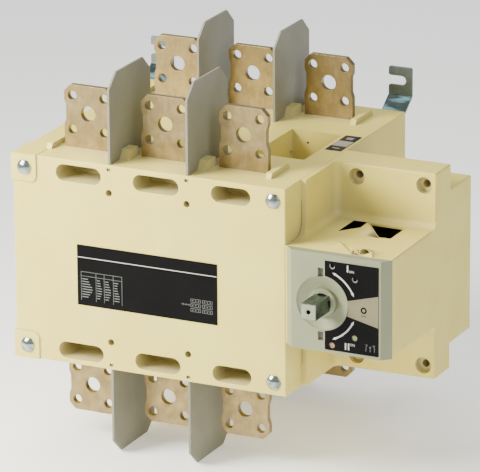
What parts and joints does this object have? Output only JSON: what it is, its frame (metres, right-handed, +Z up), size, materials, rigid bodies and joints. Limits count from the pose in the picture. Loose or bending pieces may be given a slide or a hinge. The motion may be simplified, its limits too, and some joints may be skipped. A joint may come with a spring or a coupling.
{
  "type": "manual transfer switch",
  "caption": "Manual changeover switch with stacked load-break switch bodies, flat copper terminals, insulating barriers and a side mechanism turned by a square spindle.",
  "frame": {"origin": "middle of the plane of the mounting panel, on the middle pole's centre line and level with the spindle", "axes": "+Z up, +X to the right towards the mechanism, +Y back into the panel; the front faces -Y"},
  "size_m": [0.3879, 0.3285, 0.371],
  "materials": {
    "cream_moulding": "moulded ivory glass-filled polyester, fine matt skin",
    "copper_bar": "flat copper bar with a satin golden passivated skin",
    "barrier_sheet": "warm grey moulded sheet, semi-matt",
    "silver_plate": "silver-plated copper, satin",
    "spring_steel": "plain machined steel",
    "carriage_moulding": "black glass-filled nylon",
    "zinc_plate": "zinc-plated and passivated steel",
    "dark_zinc": "zinc-plated steel with a grey-green passivation",
    "grey_moulding": "light grey moulding, semi-matt",
    "black_film": "printed polyester film",
    "position_film": "printed polyester film",
    "bronze": "sintered bronze"
  },
  "bodies": {
    "switch_frame": {"front_switch_cover": "cream_moulding", "front_switch_base": "cream_moulding", "front_terminal_top_left": "copper_bar", "front_terminal_top_centre": "copper_bar", "front_terminal_top_right": "copper_bar", "front_barrier_top_left": "barrier_sheet", "front_barrier_top_right": "barrier_sheet", "front_terminal_bottom_left": "copper_bar", "front_terminal_bottom_centre": "copper_bar", "front_terminal_bottom_right": "copper_bar", "front_barrier_bottom_left": "barrier_sheet", "front_barrier_bottom_right": "barrier_sheet", "front_arc_plates": "zinc_plate", "front_cover_screws": "zinc_plate", "rear_switch_cover": "cream_moulding", "rear_switch_base": "cream_moulding", "rear_terminal_top_left": "copper_bar", "rear_terminal_top_centre": "copper_bar", "rear_terminal_top_right": "copper_bar", "rear_barrier_top_left": "barrier_sheet", "rear_barrier_top_right": "barrier_sheet", "rear_terminal_bottom_left": "copper_bar", "rear_terminal_bottom_centre": "copper_bar", "rear_terminal_bottom_right": "copper_bar", "rear_barrier_bottom_left": "barrier_sheet", "rear_barrier_bottom_right": "barrier_sheet", "rear_arc_plates": "zinc_plate", "rear_cover_screws": "zinc_plate", "spacer_frame": "cream_moulding", "bracket_top_left": "zinc_plate", "bracket_top_right": "zinc_plate", "bracket_bottom_left": "zinc_plate", "bracket_bottom_right": "zinc_plate", "bracket_screws": "zinc_plate", "mechanism_housing": "cream_moulding", "mechanism_back_cover": "cream_moulding", "back_cover_screws": "zinc_plate", "front_plate": "grey_moulding", "dial_label": "black_film", "front_label": "black_film", "position_label": "position_film", "front_bush": "bronze", "rear_bush": "bronze"},
    "spindle_assembly": {"spindle": "dark_zinc", "spindle_collar": "grey_moulding", "pinion_pin": "spring_steel", "drive_pinion": "spring_steel"},
    "front_carriage": {"front_contact_carriage": "carriage_moulding", "front_contact_blade_left": "silver_plate", "front_contact_blade_centre": "silver_plate", "front_contact_blade_right": "silver_plate", "front_contact_springs": "spring_steel", "front_drive_rack": "spring_steel"},
    "rear_carriage": {"rear_contact_carriage": "carriage_moulding", "rear_contact_blade_left": "silver_plate", "rear_contact_blade_centre": "silver_plate", "rear_contact_blade_right": "silver_plate", "rear_contact_springs": "spring_steel", "rear_drive_rack": "spring_steel"}
  },
  "joints": [
    {"name": "spindle_turn", "type": "hinge", "parent": "switch_frame", "child": "spindle_assembly", "pos_m": [0.18, -0.2, 0], "axis": [0, -1, 0], "range_deg": [-90, 90]},
    {"name": "front_contact_slide", "type": "slide", "parent": "switch_frame", "child": "front_carriage", "axis": [1, 0, 0], "range_m": [-0.0235, 0.0235]},
    {"name": "rear_contact_slide", "type": "slide", "parent": "switch_frame", "child": "rear_carriage", "axis": [1, 0, 0], "range_m": [-0.0235, 0.0235]}
  ],
  "couplings": [
    {"joint": "front_contact_slide", "follows": "spindle_turn", "m_per_rad": -0.014},
    {"joint": "rear_contact_slide", "follows": "spindle_turn", "m_per_rad": 0.014}
  ]
}
